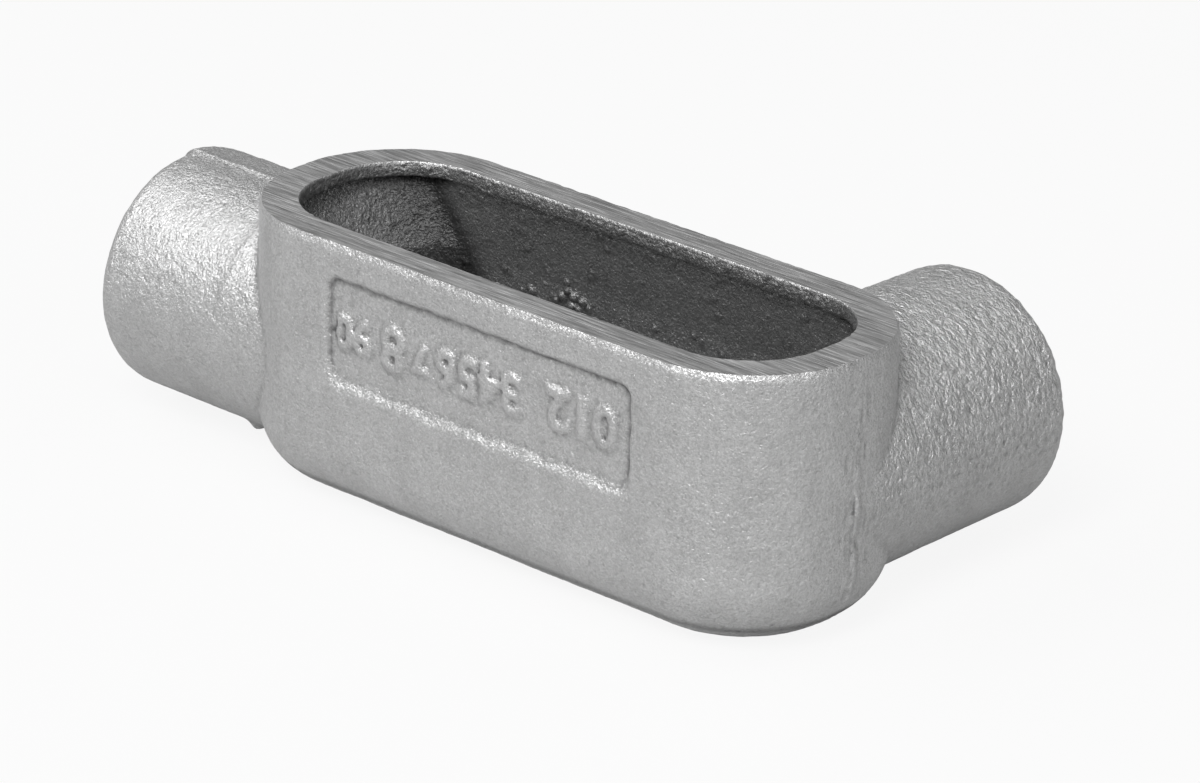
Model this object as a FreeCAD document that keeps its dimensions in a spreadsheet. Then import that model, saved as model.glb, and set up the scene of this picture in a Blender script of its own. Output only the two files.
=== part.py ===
import FreeCAD, Part
import math
import os
import Sketcher

# A conduit body of the side-outlet kind for half-inch trade size conduit. It is one iron casting: a
# trough with rounded ends and a ground rim, a threaded hub on its left end and one on its far side.
# Frame: the origin is the middle of the base, on its underside. +X runs along the trough towards the
# end that has no hub, +Y towards the side hub, and +Z up through the opening. Sizes are millimetres.

document = FreeCAD.newDocument("conduit_fitting")

SIZES = [
    ("body_length", 91.8, "trough, outside, along X"),
    ("thread_bore", 18.4, "crests of the half-inch conduit thread"),
    ("hub_wall", 6.62, "a hub's wall round the thread, at the mouth"),
    ("side_margin", 1.68, "hub flank to the trough's side, so it sets the trough's width"),
    ("hub_lift", 0.95, "underside of the trough to underside of the hubs"),
    ("hub_drop", 3.81, "ground rim down to the top of the hubs, so it sets the trough's height"),
    ("end_flat", 2.2, "straight stretch in the middle of each rounded end"),
    ("crown_rise", 1.4, "how far the underside lifts towards its edge"),
    ("crown_reach", 10.0, "width of the lifted band"),
    ("base_round", 8.9, "rounding between underside and walls"),
    ("rim_side", 4.9, "width of the ground rim along the sides"),
    ("rim_end", 5.4, "width of the ground rim at the ends"),
    ("lip_depth", 2.0, "height of the lip that a cover's clamps hook under"),
    ("wall_at_lip", 4.75, "side wall just under the lip"),
    ("wall_side", 3.9, "side wall lower down"),
    ("wall_end", 2.7, "end wall behind the undercut"),
    ("arc_inset", 1.9, "half the trough's width less the radius of the cavity's ends"),
    ("crease_round", 2.5, "plan radius where the cavity's sides meet its ends"),
    ("ramp_run", 4.6, "how far the end wall leans in towards the end hub's throat"),
    ("ramp_foot", 0.6, "top of the throats up to where the end wall stops leaning"),
    ("floor_wall", 3.4, "floor thickness"),
    ("floor_round", 4.5, "rounding between floor and walls, inside"),
    ("hub_draft", 0.5, "side hub's taper in degrees, wider towards the trough"),
    ("side_hub_proud", 0.3, "how far the side hub's flank passes the trough's end"),
    ("end_hub_length", 21.9, "end of the trough to the end hub's face"),
    ("side_hub_length", 23.4, "side of the trough to the side hub's face"),
    ("mouth_round", 2.3, "rounding of a hub's outer edge"),
    ("junction_round", 1.2, "cast fillet where a hub leaves the trough"),
    ("thread_depth", 15.5, "hub face to the shoulder that stops the conduit"),
    ("mouth_bevel", 1.7, "lead-in bevel of the thread"),
    ("shoulder_step", 1.25, "how far the shoulder stands in from the thread's crests"),
    ("throat_round", 1.5, "rounding or bevel of a throat's edge in the cavity"),
    ("panel_height", 13.8, "marking panel on the near side"),
    ("panel_left", 21.5, "panel to the trough's left end"),
    ("panel_right", 20.3, "panel to the trough's right end"),
    ("panel_drop", 4.4, "rim down to the panel"),
    ("panel_depth", 0.6, "how deep the panel is sunk"),
    ("panel_round", 2.0, "radius of the panel's corners"),
]

sheet = document.addObject("Spreadsheet::Sheet", "sizes")
for row, (alias, value, note) in enumerate(SIZES, 1):
    sheet.set(f"A{row}", alias)
    sheet.set(f"B{row}", str(value))
    sheet.set(f"C{row}", note)
    sheet.setAlias(f"B{row}", alias)
document.recompute()

# Sizes that follow from the driving ones. The trough is as wide and high as its hubs need.
HALF_LENGTH = "(sizes.body_length / 2)"
BORE_RADIUS = "(sizes.thread_bore / 2)"
HUB_RADIUS = f"({BORE_RADIUS} + sizes.hub_wall)"
HUB_HEIGHT = f"({HUB_RADIUS} + sizes.hub_lift)"
HALF_WIDTH = f"({HUB_RADIUS} + sizes.side_margin)"
RIM_HEIGHT = f"({HUB_HEIGHT} + {HUB_RADIUS} + sizes.hub_drop)"
CORNER_ROUND = f"({HALF_WIDTH} - sizes.end_flat / 2)"
END_REACH = f"({HALF_LENGTH} + sizes.end_hub_length)"
SIDE_REACH = f"({HALF_WIDTH} + sizes.side_hub_length)"
SIDE_HUB_ROOT = f"({HUB_RADIUS} + {SIDE_REACH} * tan(sizes.hub_draft))"
SIDE_HUB_PLACE = f"({HALF_LENGTH} + sizes.side_hub_proud - {SIDE_HUB_ROOT})"
END_HUB_ROOT = f"({HALF_LENGTH} - {CORNER_ROUND})"
THROAT_RADIUS = f"({BORE_RADIUS} - sizes.shoulder_step)"
FLARE_RADIUS = f"({THROAT_RADIUS} + sizes.throat_round)"
INNER_SIDE = f"({HALF_WIDTH} - sizes.wall_side)"
UNDER_LIP = f"({RIM_HEIGHT} - sizes.lip_depth)"
MID_DEPTH = f"({HUB_HEIGHT} + {THROAT_RADIUS} + sizes.ramp_foot)"
END_ARC = f"({HALF_WIDTH} - sizes.arc_inset)"

TOUCH = 1e-3  # two places nearer than this count as one

body = document.addObject("PartDesign::Body", "casting")
body.Label = "conduit_body"


def value_of(expression):
    """What an expression on the sheet comes to."""
    result = sheet.evalExpression(expression)
    return float(getattr(result, "Value", result))


def new_sketch(name, role, rotation=FreeCAD.Rotation(), **offsets):
    """A sketch on one of the body's origin planes, moved off it by expressions."""
    sketch = body.newObject("Sketcher::SketchObject", name)
    plane = next(item for item in body.Origin.OriginFeatures if item.Role == role)
    sketch.AttachmentSupport = [(plane, "")]
    sketch.MapMode = "FlatFace"
    sketch.AttachmentOffset = FreeCAD.Placement(FreeCAD.Vector(), rotation)
    for axis, expression in offsets.items():
        sketch.setExpression(f"AttachmentOffset.Base.{axis}", expression)
    return sketch


def bind(sketch, kind, *where, to):
    """Adds a measured constraint to a sketch and ties it to an expression."""
    index = sketch.addConstraint(Sketcher.Constraint(kind, *where, value_of(to)))
    sketch.setExpression(f"Constraints[{index}]", to)


def polygon(sketch, corners):
    """A closed outline of straight sides through corners given as pairs of expressions."""
    places = [FreeCAD.Vector(value_of(x), value_of(y), 0) for x, y in corners]
    count = len(places)
    for n in range(count):
        sketch.addGeometry(Part.LineSegment(places[n], places[(n + 1) % count]), False)
    for n, (x, y) in enumerate(corners):
        sketch.addConstraint(Sketcher.Constraint("Coincident", n, 2, (n + 1) % count, 1))
        bind(sketch, "DistanceX", -1, 1, n, 1, to=x)
        bind(sketch, "DistanceY", -1, 1, n, 1, to=y)


def rounded_rectangle(sketch, left, right, low, high, radius):
    """Four sides joined by four quarter arcs; the arguments are expressions."""
    x0, x1, y0, y1, r = (value_of(e) for e in (left, right, low, high, radius))
    sides = [
        ((x0 + r, y0), (x1 - r, y0)),
        ((x1, y0 + r), (x1, y1 - r)),
        ((x1 - r, y1), (x0 + r, y1)),
        ((x0, y1 - r), (x0, y0 + r)),
    ]
    middles = [(x1 - r, y0 + r), (x1 - r, y1 - r), (x0 + r, y1 - r), (x0 + r, y0 + r)]
    turn = math.pi / 2
    for start, end in sides:
        line = Part.LineSegment(FreeCAD.Vector(*start, 0), FreeCAD.Vector(*end, 0))
        sketch.addGeometry(line, False)
    for n, middle in enumerate(middles):
        circle = Part.Circle(FreeCAD.Vector(*middle, 0), FreeCAD.Vector(0, 0, 1), r)
        sketch.addGeometry(Part.ArcOfCircle(circle, (n - 1) * turn, n * turn), False)
    for n in range(4):
        arc = 4 + n
        sketch.addConstraint(Sketcher.Constraint("Tangent", n, 2, arc, 1))
        sketch.addConstraint(Sketcher.Constraint("Tangent", arc, 2, (n + 1) % 4, 1))
        sketch.addConstraint(Sketcher.Constraint("Vertical" if n % 2 else "Horizontal", n))
        if n:
            sketch.addConstraint(Sketcher.Constraint("Equal", 4, arc))
    bind(sketch, "Radius", 4, to=radius)
    bind(sketch, "DistanceY", -1, 1, 0, 1, to=low)
    bind(sketch, "DistanceX", -1, 1, 1, 1, to=right)
    bind(sketch, "DistanceY", -1, 1, 2, 1, to=high)
    bind(sketch, "DistanceX", -1, 1, 3, 1, to=left)


def barrel_outline(sketch, left, right, half_width, radius, blend):
    """Two straight sides closed by bulging end arcs, with a small arc at each of the four joins."""
    x0, x1, y, r, q = (value_of(e) for e in (left, right, half_width, radius, blend))
    reach = math.sqrt((r - q) ** 2 - (y - q) ** 2)  # end arc's centre to a small arc's, along X
    lean = math.atan2(y - q, reach)  # and the direction in which they touch
    ends = (x1 - r, x0 + r)

    def arc(x, y, radius, start, stop):
        circle = Part.Circle(FreeCAD.Vector(x, y, 0), FreeCAD.Vector(0, 0, 1), radius)
        sketch.addGeometry(Part.ArcOfCircle(circle, start, stop), False)

    for n, way in enumerate((1, -1)):  # the lower side with the right end, then the upper and left
        start, stop = ends[1 - n] - way * reach, ends[n] + way * reach
        side = [FreeCAD.Vector(x, -way * y, 0) for x in (start, stop)]
        half_turn = n * math.pi
        sketch.addGeometry(Part.LineSegment(*side), False)
        arc(stop, way * (q - y), q, half_turn - math.pi / 2, half_turn - lean)
        arc(ends[n], 0, r, half_turn - lean, half_turn + lean)
        arc(stop, way * (y - q), q, half_turn + lean, half_turn + math.pi / 2)
    for n in range(8):
        sketch.addConstraint(Sketcher.Constraint("Tangent", n, 2, (n + 1) % 8, 1))
    for side, place in ((0, f"-{half_width}"), (4, half_width)):
        sketch.addConstraint(Sketcher.Constraint("Horizontal", side))
        bind(sketch, "DistanceY", -1, 1, side, 1, to=place)
    for end, centre in ((2, f"{right} - {radius}"), (6, f"{left} + {radius}")):
        bind(sketch, "Radius", end, to=radius)
        bind(sketch, "DistanceX", -1, 1, end, 3, to=centre)
        bind(sketch, "DistanceY", -1, 1, end, 3, to="0")
    for small in (1, 3, 5, 7):
        bind(sketch, "Radius", small, to=blend)


def from_sketch(kind, name, sketch, length=None, **settings):
    """A feature made from a sketch; its length is an expression."""
    made = body.newObject(f"PartDesign::{kind}", name)
    made.Profile = sketch
    if length:
        made.setExpression("Length", length)
    for key, setting in settings.items():
        setattr(made, key, setting)
    document.recompute()
    return made


def turned(kind, name, sketch, corners):
    """A full turn of a straight-sided profile about its sketch's Y axis."""
    polygon(sketch, corners)
    return from_sketch(kind, name, sketch, ReferenceAxis=(sketch, ["V_Axis"]))


def dressed(kind, name, base, wanted, style=None, **sizes):
    """A fillet or chamfer on the edges of a feature that pass a test; its sizes are expressions."""
    names = [f"Edge{n}" for n, edge in enumerate(base.Shape.Edges, 1) if wanted(edge)]
    if not names:
        raise RuntimeError(f"{name} found no edge to work on")
    made = body.newObject(f"PartDesign::{kind}", name)
    made.Base = (base, names)
    if style:
        made.ChamferType = style
    for key, expression in sizes.items():
        made.setExpression(key, expression)
    document.recompute()
    return made


def level_at(height):
    """A test for edges that lie wholly at one height, which is an expression."""
    z = value_of(height)
    return lambda edge: max(abs(edge.BoundBox.ZMin - z), abs(edge.BoundBox.ZMax - z)) < TOUCH


def is_curved(edge):
    """True where an edge is longer than the straight line between its ends."""
    start, end = edge.Vertexes[0].Point, edge.Vertexes[-1].Point
    return edge.Length - (end - start).Length > TOUCH**2


def borders_of(solid, wanted):
    """A test for the curved edges of the faces that pass a test."""
    edges = [edge for face in solid.Shape.Faces if wanted(face) for edge in face.Edges]
    return lambda edge: is_curved(edge) and any(edge.isSame(other) for other in edges)


# The trough: a slab with rounded ends whose underside lifts a little towards its edge, which is the
# draft that lets it leave the mould, and then rolls up into the walls.
plan = new_sketch("plan_sketch", "XY_Plane")
rounded_rectangle(
    plan, f"-{HALF_LENGTH}", HALF_LENGTH, f"-{HALF_WIDTH}", HALF_WIDTH, CORNER_ROUND
)
slab = from_sketch("Pad", "trough_slab", plan, RIM_HEIGHT)
crown = dressed(
    "Chamfer",
    "underside_crown",
    slab,
    level_at("0"),
    style="Two distances",
    Size="sizes.crown_rise",
    Size2="sizes.crown_reach",
)
trough = dressed(
    "Fillet", "base_round", crown, level_at("sizes.crown_rise"), Radius="sizes.base_round"
)


# The hubs: short thick tubes that take the conduit, each a revolve drawn with its axis along the
# sketch's Y and its mouth at the far end. The side hub tapers, because it is drawn out of the mould
# along its length, and its flank runs down almost flush with the trough's end.
def end_hub_sketch(name):
    """A sketch level with the hub axes, its Y axis running out along the end hub."""
    quarter_turn = FreeCAD.Rotation(FreeCAD.Vector(0, 0, 1), 90)
    return new_sketch(name, "XY_Plane", quarter_turn, z=HUB_HEIGHT)


def side_hub_sketch(name):
    """The same along the side hub."""
    return new_sketch(name, "XY_Plane", x=SIDE_HUB_PLACE, z=HUB_HEIGHT)


def is_mouth(edge):
    """True for an edge that lies in the plane of a hub's face."""
    box = edge.BoundBox
    at_end = box.XMax < TOUCH - value_of(END_REACH)
    at_side = box.YMin > value_of(SIDE_REACH) - TOUCH
    return at_end or at_side


def junction_of(solid, axis):
    """A test for the edges where the hub along an axis meets the trough."""
    height = value_of(HUB_HEIGHT)
    on_flank = borders_of(
        solid,
        lambda face: isinstance(face.Surface, (Part.Cylinder, Part.Cone))
        and abs(face.Surface.Axis.dot(axis)) > 1 - TOUCH
        and abs(face.Surface.Center.z - height) < TOUCH,
    )
    behind = value_of(HALF_LENGTH) - TOUCH  # the proud flank starts here, as a step too low to fillet

    def is_junction(edge):
        starts_proud_flank = edge.BoundBox.XMin > behind and edge.BoundBox.YMax < TOUCH
        return on_flank(edge) and not is_mouth(edge) and not starts_proud_flank

    return is_junction


end_hub = turned(
    "Revolution",
    "end_hub",
    end_hub_sketch("end_hub_sketch"),
    [("0", END_HUB_ROOT), (HUB_RADIUS, END_HUB_ROOT), (HUB_RADIUS, END_REACH), ("0", END_REACH)],
)
end_junction = dressed(
    "Fillet",
    "end_hub_junction",
    end_hub,
    junction_of(end_hub, FreeCAD.Vector(1, 0, 0)),
    Radius="sizes.junction_round",
)
side_hub = turned(
    "Revolution",
    "side_hub",
    side_hub_sketch("side_hub_sketch"),
    [("0", "0"), (SIDE_HUB_ROOT, "0"), (HUB_RADIUS, SIDE_REACH), ("0", SIDE_REACH)],
)
side_junction = dressed(
    "Fillet",
    "side_hub_junction",
    side_hub,
    junction_of(side_hub, FreeCAD.Vector(0, 1, 0)),
    Radius="sizes.junction_round",
)
dressed("Fillet", "mouth_rounds", side_junction, is_mouth, Radius="sizes.mouth_round")

# The cavity: the opening goes straight through the lip. Below it the ends are undercut, so that a
# cover's clamps can hook under the lip, and the end wall by the end hub leans in towards its throat.
opening = new_sketch("opening_sketch", "XY_Plane", z=RIM_HEIGHT)
rounded_rectangle(
    opening,
    f"sizes.rim_end - {HALF_LENGTH}",
    f"{HALF_LENGTH} - sizes.rim_end",
    f"sizes.rim_side - {HALF_WIDTH}",
    f"{HALF_WIDTH} - sizes.rim_side",
    f"{CORNER_ROUND} - sizes.rim_end",
)
from_sketch("Pocket", "opening", opening, "sizes.lip_depth")

under_lip = new_sketch("under_lip_sketch", "XY_Plane", z=UNDER_LIP)
barrel_outline(
    under_lip,
    f"(sizes.wall_end - {HALF_LENGTH})",
    f"({HALF_LENGTH} - sizes.wall_end)",
    f"({HALF_WIDTH} - sizes.wall_at_lip)",
    END_ARC,
    "sizes.crease_round",
)
mid_depth = new_sketch("mid_depth_sketch", "XY_Plane", z=MID_DEPTH)
barrel_outline(
    mid_depth,
    f"(sizes.wall_end + sizes.ramp_run - {HALF_LENGTH})",
    f"({HALF_LENGTH} - sizes.wall_end)",
    INNER_SIDE,
    END_ARC,
    "sizes.crease_round",
)
from_sketch("SubtractiveLoft", "upper_cavity", under_lip, Sections=[mid_depth], Ruled=True)
lower_cavity = from_sketch("Pocket", "lower_cavity", mid_depth, f"{MID_DEPTH} - sizes.floor_wall")
dressed(
    "Fillet", "floor_round", lower_cavity, level_at("sizes.floor_wall"), Radius="sizes.floor_round"
)


# The bores: each hub is bored for the thread down to a shoulder that stops the conduit, and from
# there a smooth throat opens into the cavity. The bore has the diameter of the thread's crests. The
# side throat flares with a bevel, and the end throat's edge is rounded where it meets the curved wall.
def bore(name, sketch, throat, reach):
    """A hub's bore; its throat is given from the cavity out, as corners of the turned profile."""
    shoulder = f"{reach} - sizes.thread_depth"
    thread = [
        (THROAT_RADIUS, shoulder),
        (BORE_RADIUS, shoulder),
        (BORE_RADIUS, f"{reach} - sizes.mouth_bevel"),
        (f"{BORE_RADIUS} + sizes.mouth_bevel", reach),
        ("0", reach),
    ]
    return turned("Groove", name, sketch, throat + thread)


def opens_from_end_hub(solid):
    """A test for the edge where the end hub's throat opens into the cavity."""
    radius = value_of(THROAT_RADIUS)
    on_throat = borders_of(
        solid,
        lambda face: isinstance(face.Surface, Part.Cylinder)
        and abs(face.Surface.Radius - radius) < TOUCH,
    )
    left = -value_of(HALF_LENGTH)
    return lambda edge: on_throat(edge) and left < edge.BoundBox.XMin < 0


bore(
    "side_bore",
    side_hub_sketch("side_bore_sketch"),
    [
        ("0", "0"),
        (FLARE_RADIUS, "0"),
        (FLARE_RADIUS, INNER_SIDE),
        (THROAT_RADIUS, f"{INNER_SIDE} + sizes.throat_round"),
    ],
    SIDE_REACH,
)
end_bore = bore(
    "end_bore",
    end_hub_sketch("end_bore_sketch"),
    [("0", END_HUB_ROOT), (THROAT_RADIUS, END_HUB_ROOT)],
    END_REACH,
)
dressed("Fillet", "throat_round", end_bore, opens_from_end_hub(end_bore), Radius="sizes.throat_round")

# The marking panel: a shallow sunk oblong on the near side, where cast characters stand.
panel = new_sketch("panel_sketch", "XZ_Plane", z=HALF_WIDTH)
rounded_rectangle(
    panel,
    f"sizes.panel_left - {HALF_LENGTH}",
    f"{HALF_LENGTH} - sizes.panel_right",
    f"{RIM_HEIGHT} - sizes.panel_drop - sizes.panel_height",
    f"{RIM_HEIGHT} - sizes.panel_drop",
    "sizes.panel_round",
)
from_sketch("Pocket", "marking_panel", panel, "sizes.panel_depth")

for item in document.Objects:
    if "Invalid" in item.State or "Error" in item.State:
        raise RuntimeError(f"{item.Name} did not build: {item.State}")
if body.Shape.isNull() or not body.Shape.isValid() or len(body.Shape.Solids) != 1:
    raise RuntimeError("the casting is not one sound solid")

os.makedirs("parts", exist_ok=True)
body.Shape.exportStep(os.path.join("parts", f"{body.Label}.step"))
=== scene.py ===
"""A conduit body: one iron casting in aluminium lacquer, ground flat round its opening."""

import math

import bmesh
import bpy
import numpy as np
from mathutils import Matrix, Vector


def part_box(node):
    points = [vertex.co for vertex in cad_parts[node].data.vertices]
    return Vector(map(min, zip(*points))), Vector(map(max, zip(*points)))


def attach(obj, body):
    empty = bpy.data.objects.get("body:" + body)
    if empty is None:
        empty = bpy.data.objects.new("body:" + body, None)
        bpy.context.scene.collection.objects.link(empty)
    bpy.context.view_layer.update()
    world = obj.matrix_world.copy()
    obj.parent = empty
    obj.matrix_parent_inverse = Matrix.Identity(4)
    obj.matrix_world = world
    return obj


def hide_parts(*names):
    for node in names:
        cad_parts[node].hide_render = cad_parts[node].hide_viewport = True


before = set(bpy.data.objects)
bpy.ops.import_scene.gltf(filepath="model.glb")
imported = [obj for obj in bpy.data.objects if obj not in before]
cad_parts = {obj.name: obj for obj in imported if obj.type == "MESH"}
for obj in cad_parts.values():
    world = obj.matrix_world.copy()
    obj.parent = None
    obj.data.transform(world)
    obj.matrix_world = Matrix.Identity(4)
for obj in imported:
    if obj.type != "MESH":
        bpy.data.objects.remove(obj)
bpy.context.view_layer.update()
scene = bpy.context.scene

# ---------------------------------------------------------------- camera
# A long lens, a little above the opening and turned to the side that carries
# the panel and the side hub's root.
AZIMUTH, ELEVATION, ROLL = (math.radians(a) for a in (42.06, 22.40, 1.358))
DISTANCE = 0.7188
LENS = 176.49
AIM_RIGHT, AIM_UP = 0.00381, 0.00053

low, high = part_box("conduit_body")
back = Vector((math.sin(AZIMUTH) * math.cos(ELEVATION),
               -math.cos(AZIMUTH) * math.cos(ELEVATION), math.sin(ELEVATION)))
level_right = Vector((math.cos(AZIMUTH), math.sin(AZIMUTH), 0))
level_up = back.cross(level_right)
right = level_right * math.cos(ROLL) + level_up * math.sin(ROLL)
up = level_up * math.cos(ROLL) - level_right * math.sin(ROLL)
aim = Vector((0, 0, high.z / 2)) + right * AIM_RIGHT + up * AIM_UP
camera = bpy.data.objects.new("camera", bpy.data.cameras.new("camera"))
camera.data.lens = LENS
camera.data.sensor_width = 36
camera.data.clip_start, camera.data.clip_end = 0.05, 20
camera.matrix_world = Matrix((
    (right.x, up.x, back.x, aim.x + back.x * DISTANCE),
    (right.y, up.y, back.y, aim.y + back.y * DISTANCE),
    (right.z, up.z, back.z, aim.z + back.z * DISTANCE),
    (0, 0, 0, 1),
))
scene.collection.objects.link(camera)
scene.camera = camera

# ---------------------------------------------------------------- the casting
# Grey iron cast in sand round a core, dipped in aluminium lacquer. The trough, both
# threaded hubs and the marking panel are one casting, so this is one closed mesh.
MM = 0.001
HALF_WIDTH = 17.5          # of the trough, to its outer face
HALF_LENGTH = 45.9
CORNER = 16.4              # radius of the outline's corners
RIM = high.z / MM          # height of the ground rim
HUB_HEIGHT = 16.77
END_MOUTH = low.x / MM
SIDE_MOUTH = high.y / MM
SIDE_PLACE = 30.02         # of the side hub along the trough
RIM_SPARE = 1.2            # iron above the rim, which the grinding takes off
PANEL_LEFT, PANEL_RIGHT, PANEL_LOW, PANEL_HIGH = -24.4, 25.6, 18.2, 32.0
PANEL_DEPTH = 0.6
PANEL_CORNER = 2.0
VOXEL = 0.30               # spacing of the even mesh
NUMERALS = (               # text, left edge, base line, height
    ("012", 23.3, 28.0, 5.2), ("3456", 7.9, 27.6, 4.9), ("7", -7.6, 26.9, 3.4),
    ("8", -11.4, 27.9, 5.6), ("90", -17.2, 27.2, 4.2))
NUMERAL_HALF_THICK, NUMERAL_SWELL, NUMERAL_SUNK = 0.77, 0.09, 0.3
DIGIT_SHARE = 0.69         # of a letter's nominal size that a digit fills


def lattice_noise(points, cell, seed):
    """Random values on a cubic lattice, blended by a smooth step between the eight
    corners round each point. Two lattices, turned apart, are added to hide the grid."""
    total = np.zeros(len(points))
    for turn in range(2):
        draw = np.random.default_rng(seed * 2 + turn)
        values = draw.uniform(-1, 1, (64, 64, 64))
        axes, _ = np.linalg.qr(draw.normal(size=(3, 3)))
        place = points @ axes / cell + 500
        corner = np.floor(place).astype(np.int64)
        part = place - corner
        part = part * part * (3 - 2 * part)
        for dx in (0, 1):
            for dy in (0, 1):
                for dz in (0, 1):
                    weight = (np.where(dx, part[:, 0], 1 - part[:, 0])
                              * np.where(dy, part[:, 1], 1 - part[:, 1])
                              * np.where(dz, part[:, 2], 1 - part[:, 2]))
                    total += weight * values[(corner[:, 0] + dx) & 63,
                                             (corner[:, 1] + dy) & 63,
                                             (corner[:, 2] + dz) & 63]
    return total * 0.9


def grit(points, cell, share, seed):
    """Separate round grains: each lattice cell holds one grain at a random place with a
    random height, and the surface takes the highest parabola over it. Only the given
    share of the cells holds one."""
    draw = np.random.default_rng(seed)
    jitter = draw.uniform(0.15, 0.85, (32, 32, 32, 3))
    size = draw.uniform(0.35, 1.0, (32, 32, 32))
    there = draw.uniform(0, 1, (32, 32, 32)) < share
    place = points / cell + 320
    corner = np.floor(place).astype(np.int64)
    best = np.zeros(len(points))
    for dx in (-1, 0, 1):
        for dy in (-1, 0, 1):
            for dz in (-1, 0, 1):
                near = corner + (dx, dy, dz)
                key = (near[:, 0] & 31, near[:, 1] & 31, near[:, 2] & 31)
                away = ((place - near - jitter[key]) ** 2).sum(1)
                reach = 0.62 * size[key]
                height = size[key] * np.clip(1 - away / reach ** 2, 0, 1)
                best = np.maximum(best, np.where(there[key], height, 0))
    return best


def step(value, start, end):
    """0 before start, 1 after end, and a smooth cubic step between them."""
    part = np.clip((value - start) / (end - start), 0, 1)
    return part * part * (3 - 2 * part)


def outline_depth(x, y):
    """How far a point is inside the trough's rounded outline, seen from above."""
    across = np.abs(x) - (HALF_LENGTH - CORNER), np.abs(y) - (HALF_WIDTH - CORNER)
    beyond = np.hypot(np.maximum(across[0], 0), np.maximum(across[1], 0))
    return CORNER - beyond - np.minimum(np.maximum(across[0], across[1]), 0)


def raised_numerals(text, left, base, height):
    """Plain numerals for the panel's floor, made a closed mesh. They stand upside down
    and face outwards, as the trough is cast with its opening downwards."""
    curve = bpy.data.curves.new("numerals", "FONT")
    curve.body = text
    curve.size = height / DIGIT_SHARE
    curve.extrude = NUMERAL_HALF_THICK
    curve.offset = NUMERAL_SWELL
    curve.resolution_u = 4
    letters = bpy.data.objects.new("numerals", curve)
    scene.collection.objects.link(letters)
    bpy.context.view_layer.update()
    mesh = bpy.data.meshes.new_from_object(letters)
    bpy.data.objects.remove(letters)
    middle = -HALF_WIDTH + PANEL_DEPTH + NUMERAL_SUNK
    mesh.transform(Matrix((
        (-1, 0, 0, left), (0, 0, -1, middle), (0, -1, 0, base), (0, 0, 0, 1))))
    return mesh


def read_array(holder, name, size):
    """One whole-array attribute of a mesh's vertices."""
    values = np.empty(len(holder) * size, np.float32)
    holder.foreach_get(name, values)
    return values.reshape(-1, size).astype(np.float64)


def moved_mesh(mesh, points):
    """Writes whole-array points into a mesh."""
    mesh.vertices.foreach_set("co", points.astype(np.float32).ravel())
    mesh.update()


def settled_mesh(holder):
    """The mesh that an object's modifiers give, put in the place of its own."""
    mesh = bpy.data.meshes.new_from_object(
        holder.evaluated_get(bpy.context.evaluated_depsgraph_get()))
    holder.modifiers.clear()
    holder.data = mesh
    return mesh


# The casting's true shape, with spare iron on the rim and the numerals set in, is meshed
# again evenly, so that the sand's grain can be pressed into it anywhere.
shape = bmesh.new()
shape.from_mesh(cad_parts["conduit_body"].data)
bmesh.ops.remove_doubles(shape, verts=shape.verts, dist=1e-6)
bmesh.ops.scale(shape, vec=(1 / MM,) * 3, verts=shape.verts)
for numerals in NUMERALS:
    shape.from_mesh(raised_numerals(*numerals))
rough = bpy.data.meshes.new("conduit_casting")
shape.to_mesh(rough)
shape.free()
points = read_array(rough.vertices, "co", 3)
points[:, 2] += np.where(points[:, 2] > RIM - 0.01, RIM_SPARE, 0)
moved_mesh(rough, points)
casting = bpy.data.objects.new("conduit_casting", rough)
scene.collection.objects.link(casting)
remesh = casting.modifiers.new("even", "REMESH")
remesh.mode = "VOXEL"
remesh.voxel_size = VOXEL
even = settled_mesh(casting)
points = read_array(even.vertices, "co", 3)


def panel_inset(x, z):
    """How far a point is inside the panel's rounded rectangle, seen from the front."""
    across = (np.abs(x - (PANEL_LEFT + PANEL_RIGHT) / 2) - (PANEL_RIGHT - PANEL_LEFT) / 2,
              np.abs(z - (PANEL_LOW + PANEL_HIGH) / 2) - (PANEL_HIGH - PANEL_LOW) / 2)
    corner = [part + PANEL_CORNER for part in across]
    return PANEL_CORNER - np.hypot(np.maximum(corner[0], 0), np.maximum(corner[1], 0)) \
        - np.minimum(np.maximum(corner[0], corner[1]), 0)


# The panel's edges have a draft, wider along the bottom, and the sand wore them round
# and wavy. The numerals and the panel's floor are smoothed a little too.
x, y, z = points.T
inset = panel_inset(x, z) + 0.16 * lattice_noise(points, 2.2, 20)
width = 0.42 + 0.48 * step(-z, -22, -19)
sloped = -HALF_WIDTH + PANEL_DEPTH * step(inset, -width, width)
near_edge = (y < -16.6) & (np.abs(inset) < 1.5)
points[:, 1] = np.where(near_edge, sloped, y)
moved_mesh(even, points)
worn = casting.vertex_groups.new(name="worn")
worn.add(np.flatnonzero((y < -16.2) & (inset > 1.4)).tolist(), 1.0, "REPLACE")
wear = casting.modifiers.new("wear", "SMOOTH")
wear.vertex_group = worn.name
wear.factor, wear.iterations = 0.5, 4
even = settled_mesh(casting)
points = read_array(even.vertices, "co", 3)
normals = read_array(even.vertex_normals, "vector", 3)
x, y, z = points.T

# Which part of the casting each point is on.
depth = outline_depth(x, y)
end_radius = np.hypot(y, z - HUB_HEIGHT)
side_radius = np.hypot(x - SIDE_PLACE, z - HUB_HEIGHT)
on_end_hub = step(-x, HALF_LENGTH - 0.6, HALF_LENGTH + 0.8) * step(end_radius, 11.2, 12.6)
on_side_hub = step(y, 2.0, 9.0) * step(side_radius, 11.2, 12.6) * step(-depth, -3.2, 1.5)
inside = step(depth, 1.4, 2.2) * step(z, 2.0, 3.0)

# The two thread bores: a 14-to-the-inch spiral whose roots are cut into the wall.
PITCH = 25.4 / 14
THREAD_HIGH = 1.15
BORE_WITHIN, BORE_BEYOND = 9.6, 8.6   # a bore's wall lies between these two radii
BORE_LONG = 14.4


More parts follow.
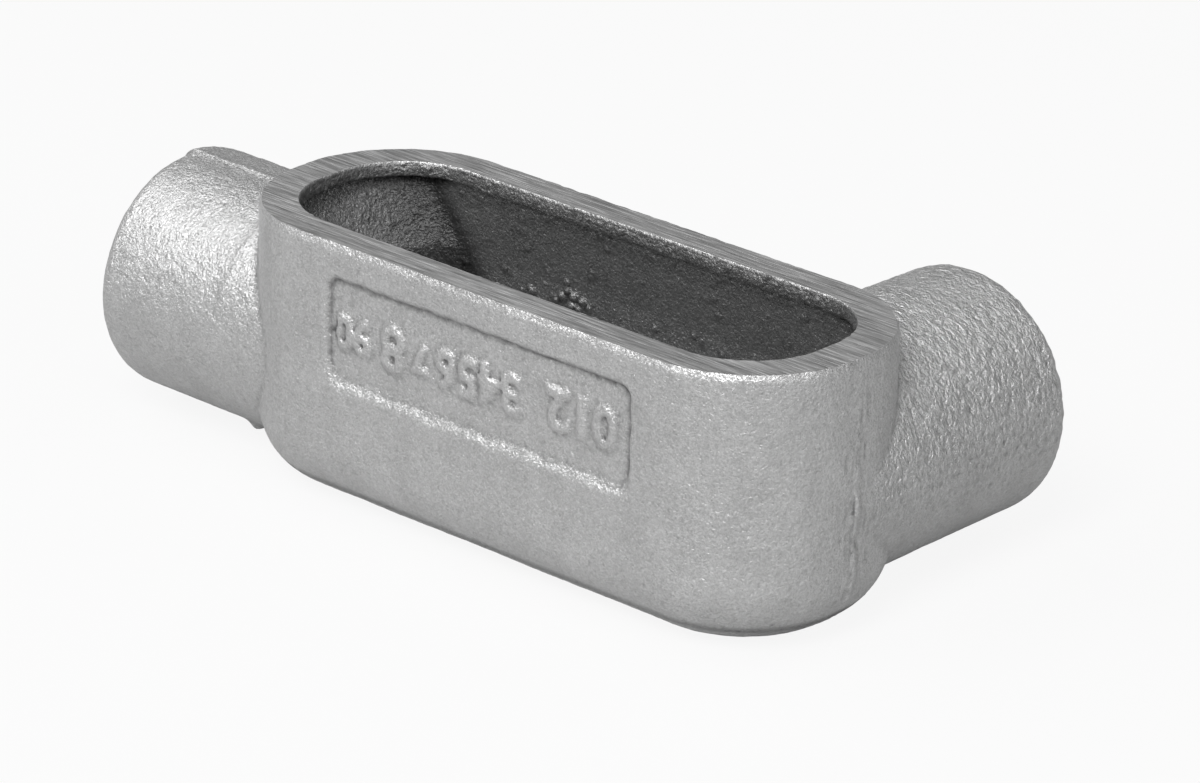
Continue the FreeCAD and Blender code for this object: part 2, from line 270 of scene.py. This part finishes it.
def thread_cut(along, angle):
    """How deep the spiral is cut at a distance in from the mouth: a triangle wave along
    the bore, one wave to each turn, that runs out over the last turn and at the bevel."""
    wave = np.abs(((along / PITCH + angle / (2 * np.pi)) % 1) * 2 - 1)
    return THREAD_HIGH * np.clip(wave * 1.25 - 0.1, 0, 1) * step(along, 0.9, 1.9) \
        * (1 - step(along, 12.4, 14.2))


end_along = x - END_MOUTH
in_end_bore = (end_radius < BORE_WITHIN) & (end_radius > BORE_BEYOND) & (end_along < BORE_LONG)
side_along = SIDE_MOUTH - y
in_side_bore = (side_radius < BORE_WITHIN) & (side_radius > BORE_BEYOND) \
    & (side_along < BORE_LONG)
end_cut = np.where(in_end_bore, thread_cut(end_along, np.arctan2(z - HUB_HEIGHT, y)), 0)
side_cut = np.where(in_side_bore,
                    thread_cut(side_along, np.arctan2(z - HUB_HEIGHT, x - SIDE_PLACE)), 0)
in_bore = in_end_bore | in_side_bore

# The sand's grain on the outer skin, as heights in millimetres: fine over the trough and
# drawn out round the hubs, where space is squeezed along the hub's axis.
along_end, along_side = np.array((1.9, 1, 1)), np.array((1, 1.4, 1))
swell = 0.05 * lattice_noise(points, 11.0, 3)
fine = 0.022 * lattice_noise(points, 0.7, 5) + 0.016 * lattice_noise(points, 1.9, 6)
end_rough = step(z, 9, 24)
side_rough = step(z, 5, 19) * (0.6 + 0.4 * step(y, 4, 15))
end_ripple = 0.017 * lattice_noise(points * along_end, 0.9, 7) \
    + 0.024 * lattice_noise(points * along_end, 2.2, 8)
side_ripple = 0.085 * lattice_noise(points * along_side, 0.9, 9) \
    + 0.025 * lattice_noise(points * along_side, 2.2, 10)
skin = swell + fine * (1 - 0.6 * on_side_hub) \
    + end_ripple * on_end_hub * (0.25 + 0.75 * end_rough) \
    + side_ripple * on_side_hub * (0.2 + 0.8 * side_rough)

# The core's skin inside: smooth on the long walls, gritty below the lip and on the
# wall that leans over the end hub's throat, with lumps of stuck sand low on one wall.
band = step(z, RIM - 4.2, RIM - 2.4)
left_end = step(-x, 33, 37)
grains = grit(points, 0.9, 0.85, 11)
sparse = grit(points, 1.0, 0.10, 12)
LUMP_RISE = 1.1            # height of a lump for each millimetre of its radius
LUMPS = np.array((         # along the wall, height, radius
    (-13.1, 25.7, 0.40), (-12.9, 24.7, 0.45), (-14.8, 22.9, 0.40), (-13.8, 23.7, 0.50),
    (-11.9, 24.1, 0.55), (-10.5, 23.8, 0.45), (-12.1, 22.8, 0.60), (-11.0, 22.7, 0.45),
    (-20.6, 22.7, 0.35), (-19.0, 22.9, 0.40), (-9.4, 23.2, 0.30), (-16.9, 24.6, 0.25)))
away = (x[:, None] - LUMPS[:, 0]) ** 2 + (z[:, None] - LUMPS[:, 1]) ** 2
lumps = (LUMP_RISE * LUMPS[:, 2] * np.exp(-away / LUMPS[:, 2] ** 2)).max(1) * (y > 8)
inner_skin = 0.5 * swell + 0.012 * lattice_noise(points, 1.3, 13) \
    + grains * (0.16 * band + 0.09 * left_end * (1 - band)) + 0.22 * sparse + lumps

# The two half moulds don't quite meet: the far half of the end hub stands proud, a ridge
# runs down the plain end, and a little flash is left at the hub's two ends.
step_line = step(y + 0.12 * lattice_noise(points, 3.0, 15), -0.28, 0.28) - 0.5
mismatch = 0.38 * step_line * on_end_hub * step(z, HUB_HEIGHT - 1, HUB_HEIGHT + 6)
seam = np.exp(-(y / 0.55) ** 2)
ridge = 0.10 * seam * on_end_hub + 0.26 * seam * (x > 40) * (1 - inside) \
    * (0.5 + 0.5 * lattice_noise(points, 1.2, 16)) * step(RIM - z, 1, 6)
streaks = 0.15 * lattice_noise(points * (1, 1, 0.16), 0.6, 18) * (x > 42) * (1 - inside) \
    * step(lattice_noise(points, 3.0, 22), -0.6, 0.6) * np.exp(-((y - 0.4) / 3.0) ** 2) \
    * step(z, 2, 6) * step(RIM - z, 1, 8)
flash = 0.12 * np.exp(-((x + 65.6) / 0.9) ** 2 - ((y - 1.2) / 1.6) ** 2) * (z > 25) \
    + 0.8 * np.exp(-((x + 47.0) / 1.0) ** 2 - ((y + 7.0) / 1.0) ** 2) * (z < 6)

# Just below the ground rim the skin turns in a little, unevenly, outside and inside.
edge_wave = 0.6 + 0.3 * lattice_noise(points, 1.1, 17)
edge = step(z, RIM - 1.5, RIM + 0.3) ** 2
outer_edge = -0.52 * edge * (0.4 + 0.6 * edge_wave) * (depth < 2)
inner_edge = -0.30 * step(z, RIM - 0.35, RIM + 0.2) * (0.5 + 0.5 * edge_wave) * (depth >= 2)

move = np.where(in_bore, 0, skin * (1 - inside) + inner_skin * inside
                + (mismatch + ridge + flash + streaks) * (1 - inside) + outer_edge + inner_edge)
move = np.where(z < 0.6, np.minimum(move, 0.0), move)
cut = -(end_cut + side_cut)
points = points + normals * (move + cut)[:, None]
moved_mesh(even, points)

# Thinned, and most of all underneath, behind and deep inside, then ground flat: a plane
# cuts the rim, and the cut is filled.
FACES_LEFT = 188000
normals = read_array(even.vertex_normals, "vector", 3)
faces_view = step(normals @ np.array(back), -0.25, 0.1) * (1 - inside * step(-z, -20, -16))
keep = casting.vertex_groups.new(name="thin_first")
LEVELS = 8
level = np.round((1 - faces_view) * LEVELS).astype(int)
for part in range(LEVELS + 1):
    keep.add(np.flatnonzero(level == part).tolist(), 0.99 + 0.01 * part / LEVELS, "REPLACE")
thin = casting.modifiers.new("thin", "DECIMATE")
thin.ratio = FACES_LEFT / (2 * len(even.polygons))
thin.vertex_group = keep.name
thin.vertex_group_factor = 1.0
thinned = settled_mesh(casting)
ground = bmesh.new()
ground.from_mesh(thinned)
bmesh.ops.bisect_plane(
    ground, geom=ground.verts[:] + ground.edges[:] + ground.faces[:], dist=1e-5,
    plane_co=(0, 0, RIM), plane_no=(0, 0, 1), clear_outer=True)
open_edges = [e for e in ground.edges if e.is_boundary]
filled = bmesh.ops.triangle_fill(ground, edges=open_edges, use_beauty=True)
for face in ground.faces:
    face.smooth = True
for face in filled["geom"]:
    if isinstance(face, bmesh.types.BMFace):
        face.material_index = 1
        if face.normal.z < 0:
            face.normal_flip()
for edge_line in open_edges:
    edge_line.smooth = False
bmesh.ops.scale(ground, vec=(MM,) * 3, verts=ground.verts)
ground.to_mesh(thinned)
ground.free()
thinned.update()

# What the finish needs to know at each point: whether it is in the cavity, how coarse the
# grain is there and on each hub, where shade is painted at the foot of the panel's edges,
# how near it is to the crease between the leaning wall and the long wall, where shade is
# painted too, and how hollow the surface is, which is how far the edges that meet there lean
# outwards; hollows get painted shade as well.
last = read_array(thinned.vertices, "co", 3) / MM
lx, ly, lz = last.T
masks = {
    "cavity": step(outline_depth(lx, ly), 1.6, 2.6) * step(lz, 2.0, 3.0)
    * (1 - step(lz, RIM - 0.30, RIM - 0.12)),
    "gritty": step(outline_depth(lx, ly), 1.6, 2.6)
    * (1 - step(lz, RIM - 1.0, RIM - 0.5))
    * np.maximum(step(lz, RIM - 4.6, RIM - 1.8),
                 step(-lx, 29, 39) * step(lz, 2.0, 3.0) * step(20 - np.abs(ly), 5, 9)),
    # Painted shade at the foot of the panel's edges, all but the bottom edge, which stays lit.
    "panel_edge_shade": np.exp(-((panel_inset(lx, lz) - 0.45) / 0.40) ** 2) * (ly < -16) * step(lz, 19, 21)
    * (0.55 + 0.45 * lattice_noise(last, 0.9, 21)).clip(0, 1),
    "end_grain": step(-lx, HALF_LENGTH - 1, HALF_LENGTH + 0.6)
    * (0.25 + 0.75 * step(lz, 9, 24)),
    "side_grain": step(-outline_depth(lx, ly), -0.8, 0.8) * step(ly, 0.5, 5)
    * (0.22 + 0.78 * step(lz, 5, 19)),
}
# Painted shade: the colour darkens near the crease between the leaning wall and the long wall.
crease = -36.6 + 0.66 * (33.4 - lz)   # the crease leans along the trough as it goes down
crease_reach = np.where(lx < crease, 8.0, 2.6)
masks["crease"] = np.exp(-((lx - crease) / crease_reach) ** 2) * step(ly, 0, 9) * (lz > 12) \
    * (1 - step(lz, RIM - 4, RIM - 1.5)) * step(outline_depth(lx, ly), 1.6, 2.6)
# Painted shade in hollows: the more concave the surface, the darker its colour.
HOLLOW_SHADE_GAIN = 4.5
ends = np.empty(len(thinned.edges) * 2, np.int32)
thinned.edges.foreach_get("vertices", ends)
ends = ends.reshape(-1, 2)
span = last[ends[:, 1]] - last[ends[:, 0]]
lean, reach = np.zeros((len(last), 3)), np.zeros(len(last))
np.add.at(lean, ends[:, 0], span)
np.add.at(lean, ends[:, 1], -span)
np.add.at(reach, ends.ravel(), np.repeat(np.linalg.norm(span, axis=1), 2))
hollow = (lean * read_array(thinned.vertex_normals, "vector", 3)).sum(1) / reach
masks["hollow_shade"] = np.clip(hollow * HOLLOW_SHADE_GAIN, 0, 1)
for name, values in masks.items():
    layer = thinned.attributes.new(name, "FLOAT", "POINT")
    layer.data.foreach_set("value", values.astype(np.float32))


def add_node(tree, kind, operation=None, **inputs):
    """A node of one kind. Each named input takes a value, or another node's socket."""
    made = tree.nodes.new(kind)
    if operation:
        made.operation = operation
    for name, value in inputs.items():
        socket = made.inputs[int(name[1:])] if name[0] == "n" and name[1:].isdigit() \
            else made.inputs[name.replace("_", " ")]
        if isinstance(value, bpy.types.NodeSocket):
            tree.links.new(value, socket)
        else:
            socket.default_value = value
    return made


def maths(tree, operation, *values):
    """A Math node's result."""
    return add_node(tree, "ShaderNodeMath", operation,
                    **{f"n{i}": v for i, v in enumerate(values)}).outputs[0]


# Grain: noise of one size that is squeezed along an axis, from 0 in the pits to 1.
grain = bpy.data.node_groups.new("sand_grain", "ShaderNodeTree")
for name, kind, start in (("Squeeze", "NodeSocketVector", (1, 1, 1)),
                          ("Size", "NodeSocketFloat", 1000.0),
                          ("Detail", "NodeSocketFloat", 2.0),
                          ("Twist", "NodeSocketFloat", 0.0)):
    grain.interface.new_socket(name, in_out="INPUT", socket_type=kind).default_value = start
grain.interface.new_socket("Height", in_out="OUTPUT", socket_type="NodeSocketFloat")
taken = grain.nodes.new("NodeGroupInput")
place = add_node(grain, "ShaderNodeTexCoord")
squeezed = add_node(grain, "ShaderNodeMapping", Vector=place.outputs["Object"],
                    Scale=taken.outputs["Squeeze"])
noise = add_node(grain, "ShaderNodeTexNoise", Vector=squeezed.outputs[0],
                 Scale=taken.outputs["Size"], Detail=taken.outputs["Detail"],
                 Roughness=0.6, Distortion=taken.outputs["Twist"])
given = grain.nodes.new("NodeGroupOutput")
grain.links.new(noise.outputs["Fac"], given.inputs["Height"])

# Flakes: cells two tenths of a millimetre wide, each tilting the surface its own way.
flakes = bpy.data.node_groups.new("flakes", "ShaderNodeTree")
for name, kind, start in (("Size", "NodeSocketFloat", 6000.0), ("Tilt", "NodeSocketFloat", 0.3)):
    flakes.interface.new_socket(name, in_out="INPUT", socket_type=kind).default_value = start
flakes.interface.new_socket("Normal", in_out="OUTPUT", socket_type="NodeSocketVector")
flakes.interface.new_socket("Spark", in_out="OUTPUT", socket_type="NodeSocketFloat")
taken = flakes.nodes.new("NodeGroupInput")
place = add_node(flakes, "ShaderNodeTexCoord")
cells = add_node(flakes, "ShaderNodeTexVoronoi", Vector=place.outputs["Object"],
                 Scale=taken.outputs["Size"])
centred = add_node(flakes, "ShaderNodeVectorMath", "SUBTRACT", n0=cells.outputs["Color"],
                   n1=(0.5, 0.5, 0.5))
tilted = add_node(flakes, "ShaderNodeVectorMath", "SCALE", n0=centred.outputs[0],
                  Scale=taken.outputs["Tilt"])
flat = add_node(flakes, "ShaderNodeNewGeometry")
leaned = add_node(flakes, "ShaderNodeVectorMath", "ADD", n0=tilted.outputs[0],
                  n1=flat.outputs["Normal"])
unit = add_node(flakes, "ShaderNodeVectorMath", "NORMALIZE", n0=leaned.outputs[0])
given = flakes.nodes.new("NodeGroupOutput")
flakes.links.new(unit.outputs[0], given.inputs["Normal"])
parted = add_node(flakes, "ShaderNodeSeparateColor", Color=cells.outputs["Color"])
flakes.links.new(parted.outputs[0], given.inputs["Spark"])


def grouped(tree, group, **inputs):
    """A node that holds a group, with its own values."""
    made = tree.nodes.new("ShaderNodeGroup")
    made.node_tree = group
    for name, value in inputs.items():
        made.inputs[name].default_value = value
    return made


def mask(tree, name):
    """One of the casting's own masks, read back from its mesh."""
    made = tree.nodes.new("ShaderNodeAttribute")
    made.attribute_name = name
    return made.outputs["Fac"]


# Aluminium lacquer: bright flakes in a thin clear film over the iron's grain. Inside the
# cavity the colour is darker, partly as the lacquer is thin there and partly as painted shade.
lacquer = bpy.data.materials.new("aluminium_lacquer")
lacquer.use_nodes = True
tree = lacquer.node_tree
shader = tree.nodes["Principled BSDF"]
body_grain = grouped(tree, grain, Size=2800.0, Detail=2.0).outputs[0]
end_grain = grouped(tree, grain, Squeeze=(1.6, 1, 1), Size=1400.0, Detail=3.0,
                    Twist=0.3).outputs[0]
side_grain = grouped(tree, grain, Squeeze=(1, 1.2, 1), Size=1300.0, Detail=3.0,
                     Twist=0.3).outputs[0]
core_grain = grouped(tree, grain, Size=2000.0, Detail=3.0).outputs[0]
coarse = grouped(tree, grain, Size=850.0).outputs[0]
mottle = grouped(tree, grain, Squeeze=(1, 1, 0.6), Size=260.0, Detail=3.0).outputs[0]


def share(value, amount):
    """A value times an amount, which says how much of it counts."""
    return maths(tree, "MULTIPLY", value, amount)


def without(name, amount):
    """1 less a share of one of the masks, which darkens what it is multiplied with."""
    return maths(tree, "SUBTRACT", 1.0, share(mask(tree, name), amount))


height = share(body_grain, 0.90)
for part in (share(coarse, 1.05),
             share(share(end_grain, mask(tree, "end_grain")), 0.70),
             share(share(side_grain, mask(tree, "side_grain")), 3.2),
             share(share(core_grain, mask(tree, "gritty")), 1.2)):
    height = maths(tree, "ADD", height, part)
flake = grouped(tree, flakes, Size=5500.0, Tilt=0.30)
bump = add_node(tree, "ShaderNodeBump", Strength=1.0, Distance=0.00016, Height=height,
                Normal=flake.outputs["Normal"])
tree.links.new(bump.outputs[0], shader.inputs["Normal"])
tone = maths(tree, "ADD", 0.52, share(maths(tree, "SUBTRACT", body_grain, 0.5), 0.26))
tone = maths(tree, "ADD", tone, share(maths(tree, "SUBTRACT", mottle, 0.5), 0.16))
tone = maths(tree, "ADD", tone,
             share(maths(tree, "SUBTRACT", flake.outputs["Spark"], 0.5), 0.10))
# Painted shade: the colour is darkened in the cavity, at the panel's edges, in the crease and in
# hollows.
shade = share(without("cavity", 0.56), without("panel_edge_shade", 0.40))
for name, amount in (("crease", 0.70), ("hollow_shade", 0.75)):
    shade = share(shade, without(name, amount))
tone = share(tone, shade)
colour = add_node(tree, "ShaderNodeCombineColor", Red=tone, Green=tone, Blue=tone)
tree.links.new(colour.outputs[0], shader.inputs["Base Color"])
tree.links.new(maths(tree, "ADD", 0.47, share(mask(tree, "cavity"), 0.01)),
               shader.inputs["Roughness"])
shader.inputs["Metallic"].default_value = 0.8

# Ground rim: bare iron, scored by the wheel almost along the trough.
rim_metal = bpy.data.materials.new("ground_rim")
rim_metal.use_nodes = True
tree = rim_metal.node_tree
shader = tree.nodes["Principled BSDF"]
scores = grouped(tree, grain, Squeeze=(0.05, 1, 1), Size=3000.0, Detail=3.0).outputs[0]
patches = grouped(tree, grain, Squeeze=(0.3, 1, 1), Size=300.0, Detail=3.0).outputs[0]
tone = maths(tree, "ADD", -0.19, maths(tree, "ADD", scores, share(patches, 0.30)))
colour = add_node(tree, "ShaderNodeCombineColor", Red=tone, Green=tone, Blue=tone)
tree.links.new(colour.outputs[0], shader.inputs["Base Color"])
bump = add_node(tree, "ShaderNodeBump", Strength=1.0, Distance=0.00016, Height=scores)
tree.links.new(bump.outputs[0], shader.inputs["Normal"])
tree.links.new(maths(tree, "ADD", 0.30, share(scores, 0.25)), shader.inputs["Roughness"])
shader.inputs["Metallic"].default_value = 0.75
casting.data.materials.append(lacquer)
casting.data.materials.append(rim_metal)

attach(casting, "root")
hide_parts("conduit_body")

# ---------------------------------------------------------------- floor and light
# A pale floor and white surroundings, with five square soft lamps: the strongest high in
# front, one high on the left for the end hub's glow, and three weaker ones.
floor_mesh = bpy.data.meshes.new("floor")
floor_mesh.from_pydata([(-3, -3, 0), (3, -3, 0), (3, 3, 0), (-3, 3, 0)], [], [(0, 1, 2, 3)])
floor = bpy.data.objects.new("floor", floor_mesh)
scene.collection.objects.link(floor)
floor_paint = bpy.data.materials.new("floor")
floor_paint.use_nodes = True
floor_mesh.materials.append(floor_paint)
tree = floor_paint.node_tree
plain = tree.nodes["Principled BSDF"]
plain.inputs["Base Color"].default_value = (0.45, 0.45, 0.45, 1)
plain.inputs["Roughness"].default_value = 0.9
glow = add_node(tree, "ShaderNodeEmission", Color=(1, 1, 1, 1))
path = add_node(tree, "ShaderNodeLightPath")
seen = maths(tree, "MULTIPLY", path.outputs["Is Camera Ray"], 0.9)
mix = add_node(tree, "ShaderNodeMixShader", n0=seen, n1=plain.outputs[0], n2=glow.outputs[0])
tree.links.new(mix.outputs[0], tree.nodes["Material Output"].inputs["Surface"])

world = bpy.data.worlds.new("studio")
scene.world = world
world.use_nodes = True
tree = world.node_tree
dim = tree.nodes["Background"]
dim.inputs["Color"].default_value = (0.05, 0.05, 0.05, 1)
white = add_node(tree, "ShaderNodeBackground", Color=(1, 1, 1, 1))
path = add_node(tree, "ShaderNodeLightPath")
shown = maths(tree, "MULTIPLY_ADD", path.outputs["Is Glossy Ray"], 0.08,
              path.outputs["Is Camera Ray"])
mix = add_node(tree, "ShaderNodeMixShader", n0=shown, n1=dim.outputs[0], n2=white.outputs[0])
tree.links.new(mix.outputs[0], tree.nodes["World Output"].inputs["Surface"])

LAMP_DISTANCE = 1.3        # from the casting's middle
LAMPS = (                  # name, direction, side of the square, power
    ("high_left", (-0.62, -0.14, 0.77), 0.8, 4.9),
    ("high_front", (0.25, -0.60, 0.75), 0.6, 17.5),
    ("front_left", (-0.48, -0.64, 0.56), 0.6, 5.4),
    ("right", (0.85, -0.15, 0.50), 0.6, 4.2),
    ("back_top", (0.20, 0.60, 0.78), 0.6, 2.8))
for name, towards, size, power in LAMPS:
    lamp = bpy.data.lights.new(name, "AREA")
    lamp.size = size
    lamp.energy = power
    holder = bpy.data.objects.new(name, lamp)
    away = Vector(towards).normalized()
    holder.location = Vector((0, 0, 0.018)) + away * LAMP_DISTANCE
    holder.rotation_euler = away.to_track_quat("Z", "Y").to_euler()
    scene.collection.objects.link(holder)

scene.view_settings.view_transform = "Standard"
